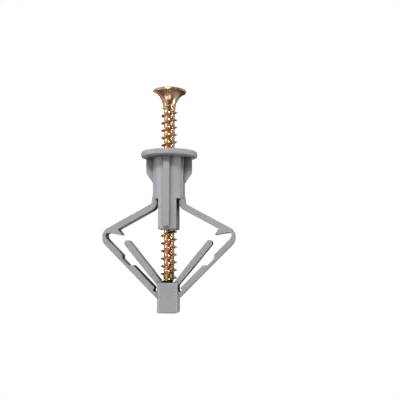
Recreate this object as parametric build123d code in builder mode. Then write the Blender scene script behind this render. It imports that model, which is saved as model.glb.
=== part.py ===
from build123d import *
from math import cos, radians, sin, sqrt, tan
import os

os.makedirs("parts", exist_ok=True)

# Hollow-wall anchor with two folding wings, and its screw.  Millimetres.
# The origin is on the screw axis in the face of the wall, just under the flange.
# +Z points out of the wall towards the screw head, and the wings open along +X and -X.
# Every piece of the right wing is drawn at +X and mirrored in the YZ plane for the left one.

# ---------------------------------------------------------------- driving dimensions
# Screw: 4 x 50, coarse thread along its whole length
screw_length = 50.0
head_top_z = 16.4
head_radius = 4.0
rim_height = 0.75
rim_round = 0.3
rim_flare = 0.15
neck_radius = 1.45
neck_curve_radius = 4.2
neck_sweep = 62
core_radius = 1.275
thread_radius = 1.95
thread_pitch = 1.8
thread_root_width = 0.66
thread_crest_width = 0.10
thread_start_z = -30.5
thread_height = 42.6
thread_base_radius = 0.75
point_length = 5.0
recess_span = 4.6
recess_slot = 0.95
recess_depth = 2.4

# Sleeve
flange_radius = 6.75
flange_thickness = 1.3
flange_round = 0.45
countersink_radius = 4.15
bore_radius = 2.0
body_radius = 3.6
side_wall_depth = 3.4
rib_width = 1.45
rib_reach = 4.6
rib_end_z = -17.0
rib_end_slope = 0.45
fin_reach = 5.5
fin_thickness = 1.0
fin_straight_z = -3.8
fin_end_z = -6.5
slot_top_z = -10.05
guide_half_width = 2.15
guide_end_z = -17.4
guide_round = 0.5

# Wings
edge_break = 0.09
wing_depth = 3.4
root_inner_x = 2.6
root_outer_x = 3.8
flare_start_z = -8.8
shoulder_x = 3.97
shoulder_z = -11.17
upper_slope = 28.5
upper_thickness = 1.5
barb_notch_x = 12.0
barb_tip = (10.95, -18.68)
barb_root = (14.1, -18.15)
elbow_reach = 15.8
elbow_thickness = 0.8
elbow_outer_round = 2.3
elbow_inner_top_z = -18.2
lower_thickness = 1.3
waist_thickness = 0.7
step_round = 0.3
pad_round = 0.25
shoulder_round = 0.7
root_inner_round = 2.2
elbow_inner_top_round = 0.4
elbow_inner_bottom_round = 1.1
barb_round = 0.12
pad_thickness = 1.45
step_top_z = -23.3
step_bottom_z = -24.15
ledge_z = -25.75
pad_end_z = -30.95
notch_z = -31.5
notch_radius = 0.45
foot_z = -33.6
root_cut_x = 4.3
elbow_cut_angle = 35

# Struts
strut_depth = 3.0
strut_width = 1.45
strut_root = (2.35, -29.6)
strut_tip = (9.76, -20.56)
strut_web_width = 1.3
strut_web_length = 2.0
strut_shoulder = 0.6

# Tail block
block_half_width = 2.45
block_depth = 5.0
block_top_z = -29.8
block_end_z = -36.85
block_round = 0.8
block_end_round = 0.35

# ---------------------------------------------------------------- screw
screw_tip_z = head_top_z - screw_length
point_top_z = screw_tip_z + point_length
rim_bottom_z = head_top_z - rim_height
neck_arc_x = neck_radius + neck_curve_radius
neck_end_z = rim_bottom_z - neck_curve_radius * sin(radians(neck_sweep))
flare_end_x = neck_arc_x - neck_curve_radius * cos(radians(neck_sweep))

with BuildPart() as screw:
    with BuildSketch(Plane.XZ):
        with BuildLine():
            Polyline(
                (0, screw_tip_z),
                (core_radius, point_top_z),
                (core_radius, neck_end_z - 1),
                (neck_radius, neck_end_z),
            )
            CenterArc((neck_arc_x, neck_end_z), neck_curve_radius, 180, -neck_sweep)
            Polyline(
                (flare_end_x, rim_bottom_z),
                (head_radius, rim_bottom_z + rim_flare),
                (head_radius, head_top_z),
                (0, head_top_z),
                (0, screw_tip_z),
            )
        make_face()
    revolve(axis=Axis.Z)
    fillet(edges().filter_by(GeomType.CIRCLE).sort_by(Axis.Z)[-1], rim_round)

    # Right-handed thread: a triangle with a narrow crest, swept along a helix
    with BuildLine() as thread_path:
        Helix(thread_pitch, thread_height, core_radius, center=(0, 0, thread_start_z))
    with BuildSketch(Plane.XZ):
        with BuildLine():
            Polyline(
                (thread_base_radius, thread_start_z - thread_root_width / 2),
                (core_radius, thread_start_z - thread_root_width / 2),
                (thread_radius, thread_start_z - thread_crest_width / 2),
                (thread_radius, thread_start_z + thread_crest_width / 2),
                (core_radius, thread_start_z + thread_root_width / 2),
                (thread_base_radius, thread_start_z + thread_root_width / 2),
                close=True,
            )
        make_face()
    sweep(path=thread_path.line, is_frenet=True)

    # Cross recess: two tapered slots at right angles
    for slot_plane in (Plane.XZ, Plane.YZ):
        with BuildSketch(slot_plane):
            with BuildLine():
                Polyline(
                    (-recess_span / 2, head_top_z),
                    (-recess_slot / 2, head_top_z - recess_depth),
                    (recess_slot / 2, head_top_z - recess_depth),
                    (recess_span / 2, head_top_z),
                    close=True,
                )
            make_face()
        extrude(amount=recess_slot / 2, both=True, mode=Mode.SUBTRACT)
screw.part.label = "screw"
export_step(screw.part, "parts/screw.step")

# ---------------------------------------------------------------- sleeve
countersink_end_z = flange_thickness - (countersink_radius - bore_radius)

with BuildPart() as sleeve:
    # Flange and round body
    with BuildSketch(Plane.XY):
        Circle(flange_radius)
    extrude(amount=flange_thickness)
    fillet(edges().group_by(Axis.Z)[-1], flange_round)
    fillet(edges().group_by(Axis.Z)[0], flange_round / 2)
    with BuildSketch(Plane.XY):
        Circle(body_radius)
    extrude(amount=slot_top_z)

    # Side walls flare a little towards the slots, where the wings leave them
    with BuildSketch(Plane.XZ):
        with BuildLine():
            Polyline(
                (0, 0),
                (body_radius, 0),
                (body_radius, flare_start_z),
                (root_outer_x, slot_top_z),
                (0, slot_top_z),
                close=True,
            )
        make_face()
        mirror(about=Plane.YZ)
    extrude(amount=side_wall_depth / 2, both=True)

    # Guide tube: the same round body between two flats
    with BuildSketch(Plane.XY.offset(slot_top_z)):
        Circle(body_radius)
        Rectangle(2 * guide_half_width, 2 * body_radius, mode=Mode.INTERSECT)
    extrude(amount=guide_end_z - slot_top_z)
    fillet(edges().group_by(Axis.Z)[0], guide_round)

    # Front and back ribs, which stop short of the guide's rounded end
    with BuildSketch(Plane.YZ):
        with BuildLine():
            Polyline(
                (0, 0),
                (rib_reach, 0),
                (rib_reach, rib_end_z + rib_end_slope),
                (body_radius - guide_round, rib_end_z),
                (0, rib_end_z),
                close=True,
            )
        make_face()
        mirror(about=Plane.YZ)
    extrude(amount=rib_width / 2, both=True)

    # Anti-rotation fins
    with BuildSketch(Plane.XZ):
        with BuildLine():
            Polyline(
                (0, 0),
                (fin_reach, 0),
                (fin_reach, fin_straight_z),
                (body_radius, fin_end_z),
                (0, fin_end_z),
                close=True,
            )
        make_face()
        mirror(about=Plane.YZ)
    extrude(amount=fin_thickness / 2, both=True)

    # Screw hole with its countersink
    with BuildSketch(Plane.XZ):
        with BuildLine():
            Polyline(
                (0, flange_thickness + 1),
                (countersink_radius + 1, flange_thickness + 1),
                (bore_radius, countersink_end_z),
                (bore_radius, guide_end_z - 1),
                (0, guide_end_z - 1),
                close=True,
            )
        make_face()
    revolve(axis=Axis.Z, mode=Mode.SUBTRACT)
sleeve.part.label = "sleeve"
export_step(sleeve.part, "parts/sleeve.step")

# ---------------------------------------------------------------- wing outline
slope_drop = tan(radians(upper_slope))
under_gap = upper_thickness / cos(radians(upper_slope))
foot_x = block_half_width


def upper_top(x):
    """Height of the upper leg's top face at x."""
    return shoulder_z - (x - shoulder_x) * slope_drop


def upper_under(x):
    """Height of the upper leg's under face at x."""
    return upper_top(x) - under_gap


def lower_inner_x(thickness, z):
    """Inner face of the 45 degree lower leg at height z, for a leg of this thickness."""
    return foot_x + (z - foot_z) - thickness * sqrt(2)


elbow_inner_x = elbow_reach - elbow_thickness
elbow_bottom_z = foot_z + (elbow_reach - foot_x)
inner_bottom_z = foot_z + (elbow_inner_x - foot_x) + lower_thickness * sqrt(2)
step_x = lower_inner_x(lower_thickness, step_top_z)
notch_x = block_half_width + notch_radius
notch_outer_x = notch_x + notch_radius

with BuildSketch(Plane.XZ) as wing_outline:
    with BuildLine():
        Polyline(
            (root_outer_x, slot_top_z),
            (shoulder_x, shoulder_z),
            (elbow_reach, upper_top(elbow_reach)),
            (elbow_reach, elbow_bottom_z),
            (foot_x, foot_z),
            (foot_x, notch_z),
        )
        ThreePointArc((foot_x, notch_z), (notch_x, notch_z - notch_radius), (notch_outer_x, notch_z))
        Polyline(
            (notch_outer_x, notch_z),
            (lower_inner_x(pad_thickness, pad_end_z), pad_end_z),
            (lower_inner_x(pad_thickness, ledge_z), ledge_z),
            (lower_inner_x(waist_thickness, ledge_z), ledge_z),
            (lower_inner_x(waist_thickness, step_bottom_z), step_bottom_z),
            (step_x, step_top_z),
            (elbow_inner_x, inner_bottom_z),
            (elbow_inner_x, elbow_inner_top_z),
            barb_root,
            barb_tip,
            (barb_notch_x, upper_under(barb_notch_x)),
            (root_inner_x, upper_under(root_inner_x)),
            (root_inner_x, slot_top_z),
            (root_outer_x, slot_top_z),
        )
    make_face()
    rounds = (
        ((shoulder_x, shoulder_z), shoulder_round),
        ((elbow_reach, upper_top(elbow_reach)), elbow_outer_round),
        ((elbow_reach, elbow_bottom_z), elbow_outer_round),
        ((root_inner_x, upper_under(root_inner_x)), root_inner_round),
        ((elbow_inner_x, elbow_inner_top_z), elbow_inner_top_round),
        ((elbow_inner_x, inner_bottom_z), elbow_inner_bottom_round),
        (barb_tip, barb_round),
        ((step_x, step_top_z), step_round),
        ((lower_inner_x(waist_thickness, step_bottom_z), step_bottom_z), step_round),
        ((lower_inner_x(waist_thickness, ledge_z), ledge_z), step_round),
        ((lower_inner_x(pad_thickness, ledge_z), ledge_z), step_round),
        ((lower_inner_x(pad_thickness, pad_end_z), pad_end_z), pad_round),
    )
    for (x, z), radius in rounds:
        corner = vertices().sort_by_distance((x, z))[0]
        fillet(corner, radius)

# The whole right wing as one solid, with its long edges broken
with BuildPart() as wing_blank:
    extrude(wing_outline.sketch, amount=wing_depth / 2, both=True)
    outline_edges = edges().group_by(Axis.Y)
    chamfer(outline_edges[0] + outline_edges[-1], edge_break)

# ---------------------------------------------------------------- wing pieces
# The wing is cut where it flexes, so each stiff stretch and each living hinge is a solid.
upper_direction = (cos(radians(upper_slope)), 0, -sin(radians(upper_slope)))
lower_direction = (-cos(radians(45)), 0, -sin(radians(45)))
elbow_centre_x = elbow_reach - elbow_outer_round
elbow_centre_z = upper_top(elbow_centre_x) - elbow_outer_round / cos(radians(upper_slope))
elbow_cut_normal = (sin(radians(elbow_cut_angle)), 0, -cos(radians(elbow_cut_angle)))

root_cut = Plane((root_cut_x, 0, upper_under(root_cut_x)), z_dir=upper_direction)
elbow_top_cut = Plane((elbow_centre_x, 0, elbow_centre_z), z_dir=elbow_cut_normal)
elbow_bottom_cut = Plane((elbow_inner_x, 0, elbow_bottom_z), z_dir=lower_direction)
tail_cut = Plane((notch_outer_x, 0, notch_z), z_dir=lower_direction)

with BuildPart() as root_hinge_right:
    add(wing_blank.part)
    split(bisect_by=root_cut, keep=Keep.BOTTOM)

with BuildPart() as upper_leg_right:
    add(wing_blank.part)
    split(bisect_by=root_cut, keep=Keep.TOP)
    split(bisect_by=elbow_top_cut, keep=Keep.BOTTOM)

with BuildPart() as elbow_hinge_right:
    add(wing_blank.part)
    split(bisect_by=elbow_top_cut, keep=Keep.TOP)
    split(bisect_by=elbow_bottom_cut, keep=Keep.BOTTOM)

with BuildPart() as lower_leg_right:
    add(wing_blank.part)
    split(bisect_by=elbow_top_cut, keep=Keep.TOP)
    split(bisect_by=elbow_bottom_cut, keep=Keep.TOP)
    split(bisect_by=tail_cut, keep=Keep.BOTTOM)

with BuildPart() as tail_hinge_right:
    add(wing_blank.part)
    split(bisect_by=tail_cut, keep=Keep.TOP)

# ---------------------------------------------------------------- tail block
with BuildPart() as tail_block:
    with BuildSketch(Plane.XY.offset(block_end_z)):
        RectangleRounded(2 * block_half_width, block_depth, block_round)
    extrude(amount=block_top_z - block_end_z)
    fillet(edges().group_by(Axis.Z)[0], block_end_round)
    fillet(edges().group_by(Axis.Z)[-1], edge_break)
    with Locations((0, 0, block_top_z)):
        Hole(bore_radius)
tail_block.part.label = "tail_block"
export_step(tail_block.part, "parts/tail_block.step")

# ---------------------------------------------------------------- struts
# A strut is a flat bar with a round tip; its root thins to a web that bends on the tail block.
strut_run = strut_tip[0] - strut_root[0]
strut_rise = strut_tip[1] - strut_root[1]
strut_length = sqrt(strut_run**2 + strut_rise**2)
strut_plane = Plane(
    (strut_root[0], 0, strut_root[1]),
    x_dir=(strut_run, 0, strut_rise),
    z_dir=(0, -1, 0),
)

with BuildPart() as strut_right:
    with BuildSketch(strut_plane):
        with BuildLine():
            Polyline(
                (strut_length, -strut_width / 2),
                (strut_web_length + strut_shoulder, -strut_width / 2),
                (strut_web_length, -strut_web_width / 2),
                (strut_web_length, strut_web_width / 2),
                (strut_web_length + strut_shoulder, strut_width / 2),
                (strut_length, strut_width / 2),
            )
            ThreePointArc(
                (strut_length, strut_width / 2),
                (strut_length + strut_width / 2, 0),
                (strut_length, -strut_width / 2),
            )
        make_face()
    extrude(amount=strut_depth / 2, both=True)
    outline_edges = edges().group_by(Axis.Y)
    chamfer(outline_edges[0] + outline_edges[-1], edge_break)

with BuildPart() as strut_hinge_right:
    with BuildSketch(strut_plane):
        with Locations(((strut_web_length - strut_web_width) / 2, 0)):
            Rectangle(strut_web_length + strut_web_width, strut_web_width)
    extrude(amount=strut_depth / 2, both=True)
    outline_edges = edges().group_by(Axis.Y)
    chamfer(outline_edges[0] + outline_edges[-1], edge_break)
    add(tail_block.part, mode=Mode.SUBTRACT)
    Cylinder(bore_radius, -2 * block_end_z, mode=Mode.SUBTRACT)

# ---------------------------------------------------------------- both sides of each wing piece
for side_piece, name in (
    (root_hinge_right, "root_hinge"),
    (upper_leg_right, "upper_leg"),
    (elbow_hinge_right, "elbow_hinge"),
    (lower_leg_right, "lower_leg"),
    (tail_hinge_right, "tail_hinge"),
    (strut_right, "strut"),
    (strut_hinge_right, "strut_hinge"),
):
    side_piece.part.label = f"{name}_right"
    export_step(side_piece.part, f"parts/{name}_right.step")
    with BuildPart() as left_piece:
        mirror(side_piece.part, about=Plane.YZ)
    left_piece.part.label = f"{name}_left"
    export_step(left_piece.part, f"parts/{name}_left.step")
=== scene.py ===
import math

import bmesh
import bpy
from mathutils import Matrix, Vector
from mathutils.bvhtree import BVHTree


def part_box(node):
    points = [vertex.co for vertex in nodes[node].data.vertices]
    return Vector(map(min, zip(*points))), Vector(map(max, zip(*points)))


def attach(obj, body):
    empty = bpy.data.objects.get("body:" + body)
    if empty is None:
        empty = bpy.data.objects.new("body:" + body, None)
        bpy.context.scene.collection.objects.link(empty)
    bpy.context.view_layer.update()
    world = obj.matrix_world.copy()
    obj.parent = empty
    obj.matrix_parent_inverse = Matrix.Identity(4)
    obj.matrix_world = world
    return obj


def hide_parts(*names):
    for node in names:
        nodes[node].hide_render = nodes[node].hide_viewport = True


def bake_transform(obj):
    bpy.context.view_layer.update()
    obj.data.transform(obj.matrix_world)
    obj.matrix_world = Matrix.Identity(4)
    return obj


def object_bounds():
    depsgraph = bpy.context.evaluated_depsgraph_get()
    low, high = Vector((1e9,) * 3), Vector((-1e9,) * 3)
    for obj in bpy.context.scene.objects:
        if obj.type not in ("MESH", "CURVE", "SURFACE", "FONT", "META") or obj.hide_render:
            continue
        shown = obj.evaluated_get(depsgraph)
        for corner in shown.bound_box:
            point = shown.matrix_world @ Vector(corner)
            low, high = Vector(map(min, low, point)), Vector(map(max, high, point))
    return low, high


# The looks of a folding-wing wall anchor and its screw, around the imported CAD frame.
# Blender works in metres, and MM turns millimetres into them.
MM = 0.001

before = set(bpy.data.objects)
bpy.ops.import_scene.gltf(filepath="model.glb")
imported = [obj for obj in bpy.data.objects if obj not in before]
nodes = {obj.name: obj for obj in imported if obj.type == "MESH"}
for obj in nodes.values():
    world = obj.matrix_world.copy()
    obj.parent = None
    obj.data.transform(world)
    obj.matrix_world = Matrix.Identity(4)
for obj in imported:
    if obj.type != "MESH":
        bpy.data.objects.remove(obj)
cad_low, cad_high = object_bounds()
screw_low, screw_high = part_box("screw")

# ---------------------------------------------------------------- camera, floor and light
VIEW_AZIMUTH = math.radians(6.5)
VIEW_ELEVATION = math.radians(-5.0)
CAMERA_DISTANCE = 153 * MM
CAMERA_LENS = 57.6
ROOM_AT_RIGHT = 7.4 * MM
FLOOR_GAP = 26 * MM
FLOOR_SIZE = 3.0
# Lamps: azimuth and elevation in degrees as seen from the anchor (azimuth 0 is in front of it,
# positive to its right), distance and size in millimetres, power in watts, and whether the lamp
# also lights matt surfaces or only shows as a reflection
LAMPS = (
    ("front_lamp", -4, 40, 300, 70, 0.64, True),
    ("left_lamp", -68, 8, 300, 90, 0.12, True),
    ("right_lamp", 86, -14, 300, 70, 0.30, True),
    ("low_lamp", 10, -50, 300, 120, 0.12, True),
    ("back_lamp", -158, 2, 300, 80, 0.24, True),
    ("strip_lamp", 54, 8, 280, 50, 0.10, False),
    ("table_lamp", -40, -40, 220, 50, 0.08, False),
)
SURROUND_LEVEL = 0.06
# Dim panels of the surround: azimuth, elevation, half width, half height in degrees, brightness
PANELS = (
    (-60, 10, 40, 45, 0.55),
    (110, -15, 30, 45, 0.50),
    (-120, 0, 30, 40, 0.35),
    (180, 50, 60, 25, 0.45),
    (0, -84, 360, 22, 0.30),
)
PANEL_EDGE = 9

# ---------------------------------------------------------------- materials
SHADE_SAMPLES = 24
EDGE_SAMPLES = 4
# Reaches of the painted shade in crevices and in the space between the legs
CREVICE_REACH = 2.6 * MM
INSIDE_REACH = 9 * MM
# Reach of the painted shade in the screw's thread roots
THREAD_ROOT_REACH = 0.9 * MM
# Radius that rounds the shading of edges and sets the band of the painted edge highlight
EDGE_ROUND_RADIUS = 0.12 * MM
EDGE_HIGHLIGHT_AND_WEAR_COLOUR = (0.48, 0.48, 0.51, 1)
PLASTIC_IOR = 1.46

# ---------------------------------------------------------------- screw
TURN_STEPS = 60
CORE_RADIUS = 1.275 * MM
THREAD_DEPTH = 0.675 * MM
THREAD_PITCH = 1.8 * MM
CREST_HEIGHT = 0.1 * MM
# The thread grows to full depth between two heights above the tip, and runs out between two
# depths below the top of the head
GROWTH_START = 0.7 * MM
GROWTH_END = 4.2 * MM
RUN_OUT_START = 5.3 * MM
RUN_OUT_END = 3.9 * MM
# Depth below the top of the head where the threaded sheet ends and the lathe-turned head begins
HEAD_DEPTH = 3.3 * MM
# One pitch of the thread: distance from the crest along the screw, and share of the thread's depth
THREAD_PROFILE = (
    (-0.9, 0.0), (-0.62, 0.0), (-0.42, 0.01), (-0.33, 0.07), (-0.19, 0.48), (-0.06, 0.98),
    (0.06, 0.98), (0.19, 0.48), (0.33, 0.07), (0.42, 0.01), (0.62, 0.0), (0.9, 0.0),
)
POINT_LENGTH = 5.0 * MM
TIP_RADIUS = 0.06 * MM
NECK_RADIUS = 1.45 * MM
NECK_CURVE = 4.2 * MM
NECK_SWEEP = math.radians(62)
NECK_EASE = 1.0 * MM
RIM_HEIGHT = 0.75 * MM
RIM_FLARE = 0.15 * MM
RIM_ROUND = 0.3 * MM
NECK_RINGS = 16
RIM_RINGS = 6
TOP_RINGS = 5
RECESS_SPAN = 4.6 * MM
RECESS_SLOT = 0.95 * MM
RECESS_DEPTH = 2.4 * MM
RECESS_FLOOR_REACH = 1.1
RECESS_OVER = 0.5 * MM

# ---------------------------------------------------------------- pieces that bend
# Height of one band of faces where a piece bends, and the least number of bands
WEB_BAND = 0.12 * MM
FEWEST_BANDS = 2
# Length of the arm, from the upper end of the elbow down, that bends
ELBOW_FLEX = 5.2 * MM
TOUCH = 0.02 * MM
WELD = 0.001 * MM
CUT_SNAP = 0.0005 * MM
CREASE = math.radians(32)


def camera_axes():
    """Right and forward directions of the camera."""
    right = Vector((math.cos(VIEW_AZIMUTH), math.sin(VIEW_AZIMUTH), 0))
    level = math.cos(VIEW_ELEVATION)
    forward = Vector((-math.sin(VIEW_AZIMUTH) * level, math.cos(VIEW_AZIMUTH) * level,
                      -math.sin(VIEW_ELEVATION)))
    return right, forward


def add_camera():
    """A camera slightly below the middle of the anchor, aimed up and past its right side."""
    right, forward = camera_axes()
    middle = Vector((0, 0, (cad_low.z + cad_high.z) / 2))
    data = bpy.data.cameras.new("camera")
    data.lens = CAMERA_LENS
    data.clip_start = 1 * MM
    camera = bpy.data.objects.new("camera", data)
    camera.location = middle + right * ROOM_AT_RIGHT - forward * CAMERA_DISTANCE
    camera.rotation_euler = forward.to_track_quat("-Z", "Y").to_euler()
    bpy.context.scene.collection.objects.link(camera)
    bpy.context.scene.camera = camera


def add_lamp(name, azimuth, elevation, distance, size, power, lights_matt):
    """A square soft lamp that faces the middle of the anchor."""
    middle = Vector((0, 0, (cad_low.z + cad_high.z) / 2))
    turn = math.radians(azimuth)
    rise = math.radians(elevation)
    toward = Vector((math.sin(turn) * math.cos(rise), -math.cos(turn) * math.cos(rise), math.sin(rise)))
    data = bpy.data.lights.new(name, "AREA")
    data.size = size * MM
    data.energy = power
    lamp = bpy.data.objects.new(name, data)
    lamp.location = middle + toward * distance * MM
    lamp.rotation_euler = (-toward).to_track_quat("-Z", "Y").to_euler()
    lamp.visible_diffuse = lights_matt
    lamp.visible_camera = False
    bpy.context.scene.collection.objects.link(lamp)


class Shader:
    """A small helper that adds nodes to a material or world and links them."""

    def __init__(self, tree):
        self.tree = tree
        tree.nodes.clear()

    def node(self, kind, settings=None, **inputs):
        """Adds a node, sets its properties, and fills or links its inputs.

        An input is given by its name, with _ for a space, or by its number, as in _0."""
        made = self.tree.nodes.new(kind)
        for key, value in (settings or {}).items():
            setattr(made, key, value)
        for key, value in inputs.items():
            place = int(key[1:]) if key[1:].isdigit() else key.replace("_", " ")
            socket = made.inputs[place]
            if isinstance(value, bpy.types.NodeSocket):
                self.tree.links.new(value, socket)
            else:
                socket.default_value = value
        return made

    def ramp(self, factor, stops):
        """A colour ramp through stops of (place, grey or colour)."""
        made = self.node("ShaderNodeValToRGB", Fac=factor)
        elements = made.color_ramp.elements
        while len(elements) < len(stops):
            elements.new(0.5)
        for element, (place, colour) in zip(elements, stops):
            element.position = place
            shade = colour if isinstance(colour, tuple) else (colour, colour, colour)
            element.color = (*shade, 1)
        return made.outputs["Color"]

    def noise(self, place, size, detail=3.0, roughness=0.5, distortion=0.0):
        """Noise whose blotches are about this size in millimetres."""
        made = self.node("ShaderNodeTexNoise", Vector=place, Scale=1 / (size * MM), Detail=detail,
                         Roughness=roughness, Distortion=distortion)
        return made.outputs["Fac"]

    def mix(self, factor, first, second, blend="MIX"):
        """Mixes two colours."""
        made = self.node("ShaderNodeMix", {"data_type": "RGBA", "blend_type": blend})
        factor_socket, first_socket, second_socket = made.inputs[0], made.inputs[6], made.inputs[7]
        for socket, value in ((factor_socket, factor), (first_socket, first), (second_socket, second)):
            if isinstance(value, bpy.types.NodeSocket):
                self.tree.links.new(value, socket)
            else:
                socket.default_value = value
        return made.outputs[2]

    def bump(self, height, distance, strength, normal=None):
        """Bump of this height in millimetres."""
        made = self.node("ShaderNodeBump", Height=height, Distance=distance * MM, Strength=strength)
        if normal is not None:
            self.tree.links.new(normal, made.inputs["Normal"])
        return made.outputs["Normal"]


def new_shader(name):
    """A new node material and its helper."""
    material = bpy.data.materials.new(name)
    material.use_nodes = True
    return material, Shader(material.node_tree)


def grey(value):
    """An opaque grey."""
    return (value, value, value, 1)


def panel_light(s, azimuth, elevation, panel):
    """Brightness of one soft-edged panel in the direction that two sockets give in radians."""
    middle_azimuth, middle_elevation, half_width, half_height, brightness = panel
    light = None
    for angle, middle, half in (
        (azimuth, middle_azimuth, half_width),
        (elevation, middle_elevation, half_height),
    ):
        away = s.node("ShaderNodeMath", {"operation": "SUBTRACT"}, _0=angle, _1=math.radians(middle))
        away = s.node("ShaderNodeMath", {"operation": "ABSOLUTE"}, _0=away.outputs[0])
        inside = s.node("ShaderNodeMapRange", {"interpolation_type": "SMOOTHSTEP"}, Value=away.outputs[0],
                        From_Min=math.radians(half + PANEL_EDGE), From_Max=math.radians(half - PANEL_EDGE),
                        To_Min=0.0, To_Max=1.0)
        if light is None:
            light = inside.outputs["Result"]
        else:
            light = s.node("ShaderNodeMath", {"operation": "MULTIPLY"}, _0=light,
                           _1=inside.outputs["Result"]).outputs[0]
    return s.node("ShaderNodeMath", {"operation": "MULTIPLY"}, _0=light, _1=brightness).outputs[0]


def add_world():
    """White behind the object, and a dim surround with soft panels for light and reflections."""
    world = bpy.data.worlds.new("studio")
    bpy.context.scene.world = world
    world.use_nodes = True
    s = Shader(world.node_tree)
    direction = s.node("ShaderNodeTexCoord").outputs["Generated"]
    axes = s.node("ShaderNodeSeparateXYZ", Vector=direction)
    toward_camera = s.node("ShaderNodeMath", {"operation": "MULTIPLY"}, _0=axes.outputs["Y"], _1=-1.0)
    azimuth = s.node("ShaderNodeMath", {"operation": "ARCTAN2"}, _0=axes.outputs["X"],
                     _1=toward_camera.outputs[0]).outputs[0]
    elevation = s.node("ShaderNodeMath", {"operation": "ARCSINE"}, _0=axes.outputs["Z"]).outputs[0]
    total = SURROUND_LEVEL
    for panel in PANELS:
        light = panel_light(s, azimuth, elevation, panel)
        total = s.node("ShaderNodeMath", {"operation": "ADD"}, _0=light, _1=total).outputs[0]
    surround = s.node("ShaderNodeCombineColor", Red=total, Green=total, Blue=total)
    is_camera = s.node("ShaderNodeLightPath").outputs["Is Camera Ray"]
    colour = s.mix(is_camera, surround.outputs["Color"], grey(1.0))
    background = s.node("ShaderNodeBackground", Color=colour, Strength=1.0)
    s.node("ShaderNodeOutputWorld", Surface=background.outputs["Background"])


def floor_material():
    """Pale floor that reads as white paper."""
    material, s = new_shader("pale_floor")
    place = s.node("ShaderNodeTexCoord").outputs["Object"]
    mottle = s.ramp(s.noise(place, 30.0), ((0.0, 0.86), (1.0, 0.90)))
    diffuse = s.node("ShaderNodeBsdfDiffuse", Color=mottle)
    glow = s.node("ShaderNodeEmission", Color=grey(1.0), Strength=1.0)
    is_camera = s.node("ShaderNodeLightPath").outputs["Is Camera Ray"]
    surface = s.node("ShaderNodeMixShader", Fac=is_camera)
    s.tree.links.new(diffuse.outputs[0], surface.inputs[1])
    s.tree.links.new(glow.outputs[0], surface.inputs[2])
    s.node("ShaderNodeOutputMaterial", Surface=surface.outputs[0])
    return material


def add_floor():
    """A plain pale floor below the anchor."""
    mesh = bpy.data.meshes.new("floor")
    reach = FLOOR_SIZE / 2
    height = cad_low.z - FLOOR_GAP
    outline = ((-reach, -reach), (reach, -reach), (reach, reach), (-reach, reach))
    mesh.from_pydata([(x, y, height) for x, y in outline], [], [(0, 1, 2, 3)])
    mesh.materials.append(floor_material())
    floor = bpy.data.objects.new("floor", mesh)
    bpy.context.scene.collection.objects.link(floor)
    floor.visible_diffuse = False
    floor.visible_glossy = False
    floor.visible_shadow = False


def plastic_material():
    """Grey moulded plastic: faint violet tint, mould grain, paler edges painted as highlight and wear,
    painted shade in crevices and between the legs.
    """
    material, s = new_shader("grey_moulded_plastic")
    place = s.node("ShaderNodeTexCoord").outputs["Object"]
    cloudy = s.noise(place, 5.0, 2.0)
    base = s.ramp(cloudy, ((0.3, (0.375, 0.370, 0.395)), (0.7, (0.425, 0.418, 0.445))))
    speck = s.ramp(s.noise(place, 0.25, 2.0), ((0.35, 0.95), (0.65, 1.0)))
    base = s.mix(1.0, base, speck, "MULTIPLY")

    # Painted shade: the base colour is darkened in crevices and, more, in the space between the legs,
    # where shade falls
    crevice = s.node("ShaderNodeAmbientOcclusion", {"samples": SHADE_SAMPLES}, Distance=CREVICE_REACH)
    shade = s.ramp(crevice.outputs["AO"], ((0.35, 0.42), (0.95, 1.0)))
    inside = s.node("ShaderNodeAmbientOcclusion", {"samples": SHADE_SAMPLES}, Distance=INSIDE_REACH)
    painted_inside_shade = s.ramp(inside.outputs["AO"], ((0.28, 0.30), (0.64, 1.0)))
    shade = s.mix(1.0, shade, painted_inside_shade, "MULTIPLY")
    base = s.mix(1.0, base, shade, "MULTIPLY")

    # Painted edge highlight, partly wear: edges are painted a little paler
    rounded = s.node("ShaderNodeBevel", {"samples": EDGE_SAMPLES}, Radius=EDGE_ROUND_RADIUS)
    flat = s.node("ShaderNodeNewGeometry").outputs["Normal"]
    across = s.node("ShaderNodeVectorMath", {"operation": "DOT_PRODUCT"},
                    _0=rounded.outputs["Normal"], _1=flat)
    edge = s.ramp(across.outputs["Value"], ((0.86, 1.0), (0.99, 0.0)))
    base = s.mix(edge, base, EDGE_HIGHLIGHT_AND_WEAR_COLOUR)

    grain = s.bump(s.noise(place, 0.18, 3.0, 0.6), 0.008, 0.5, rounded.outputs["Normal"])
    flow = s.bump(s.noise(place, 1.6, 2.0), 0.05, 0.25, grain)
    roughness = s.ramp(s.noise(place, 0.9, 2.0), ((0.3, 0.42), (0.7, 0.56)))
    surface = s.node("ShaderNodeBsdfPrincipled", Base_Color=base, Roughness=roughness, Normal=flow)
    surface.inputs["IOR"].default_value = PLASTIC_IOR
    # The painted shade between the legs also lowers the specular there
    s.tree.links.new(painted_inside_shade, surface.inputs["Specular IOR Level"])
    s.node("ShaderNodeOutputMaterial", Surface=surface.outputs[0])
    return material


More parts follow.
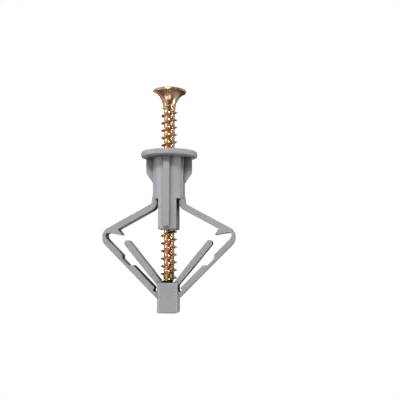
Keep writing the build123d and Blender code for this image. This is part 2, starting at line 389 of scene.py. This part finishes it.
def zinc_material():
    """Yellow-zinc steel: olive gold to copper in soft patches, uneven polish, painted shade in the thread
    roots.
    """
    material, s = new_shader("yellow_zinc_steel")
    place = s.node("ShaderNodeTexCoord").outputs["Object"]
    bloom = s.noise(place, 3.0, 2.0, 0.5, 0.3)
    base = s.ramp(bloom, (
        (0.30, (0.52, 0.44, 0.20)),
        (0.42, (0.66, 0.43, 0.22)),
        (0.54, (0.70, 0.41, 0.25)),
        (0.70, (0.72, 0.42, 0.32)),
    ))
    # Painted shade: the thread roots are darkened where shade falls
    cavity = s.node("ShaderNodeAmbientOcclusion", {"samples": SHADE_SAMPLES}, Distance=THREAD_ROOT_REACH)
    shade = s.ramp(cavity.outputs["AO"], ((0.3, (0.27, 0.18, 0.10)), (0.85, (1.0, 1.0, 1.0))))
    base = s.mix(1.0, base, shade, "MULTIPLY")
    polish = s.noise(place, 0.9, 2.0)
    roughness = s.ramp(polish, ((0.3, 0.25), (0.7, 0.30)))
    skin = s.bump(polish, 0.001, 0.1)
    surface = s.node("ShaderNodeBsdfPrincipled", Base_Color=base, Metallic=1.0, Roughness=roughness,
                     Normal=skin)
    s.node("ShaderNodeOutputMaterial", Surface=surface.outputs[0])
    return material


def paint(piece, material):
    """Gives a piece this one material."""
    if not piece.material_slots:
        piece.data.materials.append(None)
    for slot in piece.material_slots:
        slot.link = "OBJECT"
        slot.material = material


# ---------------------------------------------------------------- pieces
def tree_of(node):
    """A search tree over a CAD node's surface."""
    mesh = nodes[node].data
    return BVHTree.FromPolygons([v.co for v in mesh.vertices], [p.vertices for p in mesh.polygons])


def touching(points, node):
    """Those of the points that lie on the surface of a CAD node."""
    tree = tree_of(node)
    return [p for p in points if tree.find_nearest(p)[3] < TOUCH]


def shade_by_angle(bm):
    """Smooth shading with sharp creases."""
    for face in bm.faces:
        face.smooth = True
    for edge in bm.edges:
        edge.smooth = len(edge.link_faces) == 2 and edge.calc_face_angle() < CREASE


def finish_piece(bm, name):
    """Turns a bmesh into an object with smooth shading and crisp creases."""
    bmesh.ops.recalc_face_normals(bm, faces=bm.faces)
    shade_by_angle(bm)
    mesh = bpy.data.meshes.new(name)
    bm.to_mesh(mesh)
    bm.free()
    piece = bpy.data.objects.new(name, mesh)
    bpy.context.scene.collection.objects.link(piece)
    return piece


def joined(node_names):
    """One bmesh from CAD nodes that meet face to face, without the faces hidden between them."""
    bm = bmesh.new()
    for name in node_names:
        bm.from_mesh(nodes[name].data)
    if len(node_names) > 1:
        trees = [tree_of(name) for name in node_names]
        buried = [f for f in bm.faces
                  if all(t.find_nearest(f.calc_center_median())[3] < TOUCH for t in trees)]
        bmesh.ops.delete(bm, geom=buried, context="FACES")
    bmesh.ops.remove_doubles(bm, verts=bm.verts, dist=WELD)
    return bm


def flexing_piece(name, node_names, fixed, swung, material, along=None, length=None):
    """Moulded piece where the real anchor bends, cut into thin bands between the part fixed at its near
    end and the part swung further on.

    Bending starts where the first node touches the fixed part. It ends where that node meets the
    swung part, or after a given length along a given direction."""
    bm = joined(node_names)
    web = [v.co.copy() for v in nodes[node_names[0]].data.vertices]
    at_fixed = touching(web, fixed)
    if along is None:
        at_swung = touching(web, swung)
        along = sum(at_swung, Vector()) / len(at_swung) - sum(at_fixed, Vector()) / len(at_fixed)
        along.y = 0
        along.normalize()
        end = min(p.dot(along) for p in at_swung)
    start = max(p.dot(along) for p in at_fixed)
    if length is not None:
        end = start + length
    bands = max(FEWEST_BANDS, round((end - start) / WEB_BAND))
    for i in range(bands + 1):
        place = along * (start + (end - start) * i / bands)
        geometry = bm.verts[:] + bm.edges[:] + bm.faces[:]
        bmesh.ops.bisect_plane(bm, geom=geometry, plane_co=place, plane_no=along, dist=CUT_SNAP)
    piece = finish_piece(bm, name)
    paint(piece, material)
    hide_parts(*node_names)
    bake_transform(piece)


def smooth(value, low, high):
    """0 below low, 1 above high, and an easy curve between."""
    t = min(max((value - low) / (high - low), 0.0), 1.0)
    return t * t * (3 - 2 * t)


def core_radius(z):
    """Radius of the screw's point, core and neck at height z."""
    tip = screw_low.z
    neck_foot = screw_high.z - RIM_HEIGHT - NECK_CURVE * math.sin(NECK_SWEEP)
    if z < tip + POINT_LENGTH:
        return TIP_RADIUS + (CORE_RADIUS - TIP_RADIUS) * (z - tip) / POINT_LENGTH
    if z < neck_foot:
        ease = smooth(z, neck_foot - NECK_EASE, neck_foot)
        return CORE_RADIUS + (NECK_RADIUS - CORE_RADIUS) * ease
    rise = z - neck_foot
    return NECK_RADIUS + NECK_CURVE - math.sqrt(NECK_CURVE**2 - rise**2)


def thread_depth(z):
    """Depth of the thread: it grows out of the point and runs out into the neck."""
    grown = smooth(z, screw_low.z + GROWTH_START, screw_low.z + GROWTH_END)
    run_out = 1 - smooth(z, screw_high.z - RUN_OUT_START, screw_high.z - RUN_OUT_END)
    return THREAD_DEPTH * grown * run_out


def add_thread(bm, joint):
    """The threaded length as one sheet wound along the helix, from the tip up to joint."""
    tip = screw_low.z
    half = THREAD_PITCH / 2
    first = math.floor((tip - half - CREST_HEIGHT) / THREAD_PITCH * TURN_STEPS)
    last = math.ceil((joint + half - CREST_HEIGHT) / THREAD_PITCH * TURN_STEPS)
    before = None
    for i in range(first, last + 1):
        angle = 2 * math.pi * i / TURN_STEPS
        crest = CREST_HEIGHT + THREAD_PITCH * i / TURN_STEPS
        column = []
        for offset, share in THREAD_PROFILE:
            z = min(max(crest + offset * MM, tip), joint)
            radius = core_radius(z) + share * thread_depth(crest)
            column.append(bm.verts.new((radius * math.cos(angle), radius * math.sin(angle), z)))
        if before:
            for k in range(len(column) - 1):
                bm.faces.new((before[k], column[k], column[k + 1], before[k + 1]))
        before = column


def head_profile(joint):
    """Radius and height from joint up the neck, round the rim and in to the middle of the head."""
    high = screw_high
    rim_foot = high.z - RIM_HEIGHT
    for i in range(NECK_RINGS + 1):
        z = joint + (rim_foot - joint) * i / NECK_RINGS
        yield core_radius(z), z
    yield high.x, rim_foot + RIM_FLARE
    for i in range(RIM_RINGS + 1):
        turn = math.pi / 2 * i / RIM_RINGS
        yield high.x - RIM_ROUND * (1 - math.cos(turn)), high.z - RIM_ROUND * (1 - math.sin(turn))
    for i in range(1, TOP_RINGS + 1):
        yield (high.x - RIM_ROUND) * (1 - i / TOP_RINGS), high.z


def turn_on_lathe(bm, profile):
    """Rings of faces through a profile of (radius, height)."""
    before = None
    for radius, z in profile:
        ring = []
        for i in range(TURN_STEPS):
            angle = 2 * math.pi * i / TURN_STEPS
            ring.append(bm.verts.new((radius * math.cos(angle), radius * math.sin(angle), z)))
        if before:
            for i in range(TURN_STEPS):
                j = (i + 1) % TURN_STEPS
                bm.faces.new((before[i], before[j], ring[j], ring[i]))
        before = ring


def recess_cutter():
    """Tapered cross, the shape of the driver bit, from the recess floor to above the head."""
    top = screw_high.z
    taper = (RECESS_SPAN - RECESS_SLOT) / 2 / RECESS_DEPTH
    bm = bmesh.new()
    rings = []
    for z in (top - RECESS_DEPTH, top + RECESS_OVER):
        depth = z - top + RECESS_DEPTH
        half = RECESS_SLOT / 2
        reach = RECESS_FLOOR_REACH * half + depth * taper
        corners = []
        for quarter in range(4):
            for x, y in ((reach, -half), (reach, half), (half, half)):
                for _ in range(quarter):
                    x, y = -y, x
                corners.append(bm.verts.new((x, y, z)))
        rings.append(corners)
    low, high = rings
    bm.faces.new(low[::-1])
    bm.faces.new(high)
    for i in range(len(low)):
        j = (i + 1) % len(low)
        bm.faces.new((low[i], low[j], high[j], high[i]))
    return finish_piece(bm, "recess_cutter")


def build_screw(material):
    """The screw with its true helical thread, trumpet neck and cross recess."""
    bm = bmesh.new()
    joint = screw_high.z - HEAD_DEPTH
    add_thread(bm, joint)
    turn_on_lathe(bm, head_profile(joint))
    turn_on_lathe(bm, ((0.0, screw_low.z), (TIP_RADIUS, screw_low.z)))
    bmesh.ops.remove_doubles(bm, verts=bm.verts, dist=WELD)
    blank = finish_piece(bm, "screw_blank")
    cutter = recess_cutter()
    cut = blank.modifiers.new("recess", "BOOLEAN")
    cut.operation = "DIFFERENCE"
    cut.solver = "FAST"
    cut.object = cutter
    evaluated = blank.evaluated_get(bpy.context.evaluated_depsgraph_get())
    bm = bmesh.new()
    bm.from_mesh(evaluated.to_mesh())
    for helper in (blank, cutter):
        bpy.data.objects.remove(helper)
    screw = finish_piece(bm, "screw_finished")
    paint(screw, material)
    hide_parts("screw")
    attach(screw, "screw")


# ---------------------------------------------------------------- the scene
add_camera()
add_world()
add_floor()
for lamp in LAMPS:
    add_lamp(*lamp)
bpy.context.scene.view_settings.view_transform = "Standard"

plastic = plastic_material()
zinc = zinc_material()
for name, node in nodes.items():
    paint(node, zinc if name == "screw" else plastic)

build_screw(zinc)
for side in ("left", "right"):
    upper, lower, strut = f"upper_leg_{side}", f"lower_leg_{side}", f"strut_{side}"
    flexing_piece(f"upper_arm_{side}", (f"root_hinge_{side}", upper), "sleeve", upper, plastic)
    flexing_piece(f"lower_arm_{side}", (f"elbow_hinge_{side}", lower), upper, lower, plastic,
                  along=Vector((0, 0, -1)), length=ELBOW_FLEX)
    flexing_piece(f"locking_strut_{side}", (f"strut_hinge_{side}", strut), "tail_block", strut, plastic)
flexing_piece("tail_web_left", ("tail_hinge_left",), "lower_leg_left", "tail_block", plastic)
